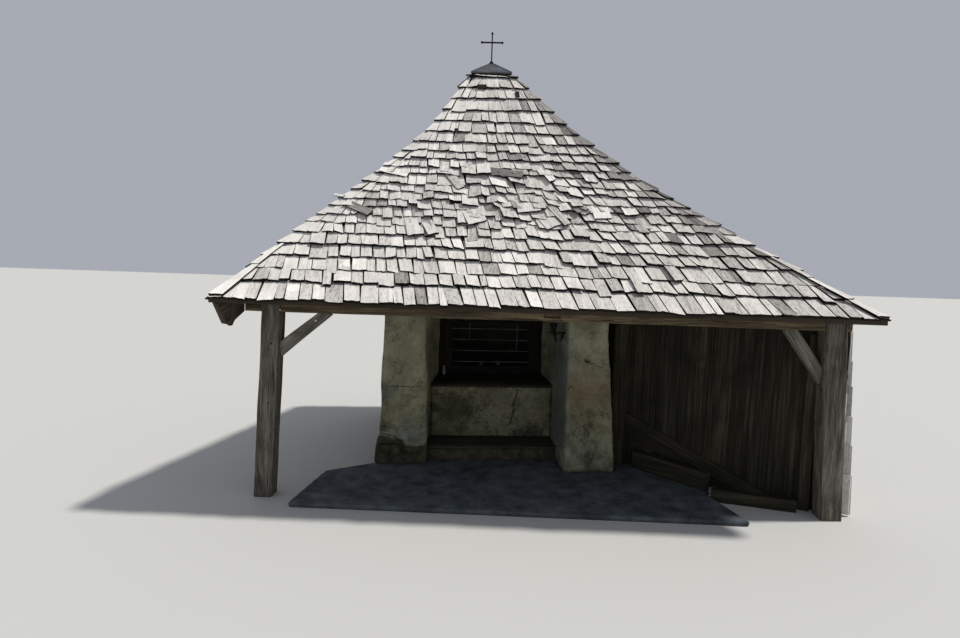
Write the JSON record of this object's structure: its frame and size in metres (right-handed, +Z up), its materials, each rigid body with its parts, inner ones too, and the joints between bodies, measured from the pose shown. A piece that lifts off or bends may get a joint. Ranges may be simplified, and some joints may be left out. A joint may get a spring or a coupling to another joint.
{
  "type": "wayside chapel",
  "caption": "Small masonry wayside chapel with a barred window niche under a concave shingled tent roof that runs forward over an open porch on timber posts.",
  "frame": {"origin": "on the ground, midway between the fronts of the two masonry piers; the underside of the porch floor is at 0", "axes": "+X to the right along the front eave, -Y out of the open front of the porch, +Z up"},
  "size_m": [6.3027, 4.74, 5.445],
  "materials": {
    "lime_render": "rough weathered lime render",
    "fieldstone": "rough mortared stone",
    "cast_floor": "rough cast concrete",
    "shingles": "silver-grey weathered split shingles",
    "timber": "weathered sawn timber",
    "dark_wood": "dark stained wood",
    "cap_metal": "dull sheet metal",
    "iron": "black wrought iron",
    "jar_glass": "dusty clear glass"
  },
  "bodies": {
    "root": {"chamber_ceiling": "timber", "diagonal_plank": "timber", "front_beam": "timber", "front_rafters": "timber", "front_roof": "shingles", "hip_rafters": "timber", "kick_beam": "timber", "kneeler_plank": "timber", "kneeler_step": "lime_render", "lamp_bracket": "iron", "lamp_jar": "jar_glass", "left_brace": "timber", "left_pier": "lime_render", "left_pier_footing": "fieldstone", "left_plate": "timber", "left_post": "timber", "left_rafters": "timber", "left_roof": "shingles", "left_side_wall": "lime_render", "middle_beam": "timber", "parapet_wall": "lime_render", "peak_block": "timber", "porch_floor": "cast_floor", "rear_beam": "timber", "rear_post": "timber", "rear_rafters": "timber", "rear_roof": "shingles", "rear_wall": "lime_render", "right_brace": "timber", "right_pier": "lime_render", "right_plate": "timber", "right_post": "timber", "right_rafters": "timber", "right_roof": "shingles", "right_side_wall": "lime_render", "roof_cap": "cap_metal", "roof_cross": "iron", "side_wall_battens": "timber", "side_wall_boards": "timber", "side_wall_cladding": "shingles", "side_wall_rail": "timber", "side_wall_stud": "timber", "threshold_board": "timber", "window_frame": "dark_wood", "window_lintel": "lime_render", "window_sill": "dark_wood"}
  },
  "joints": []
}
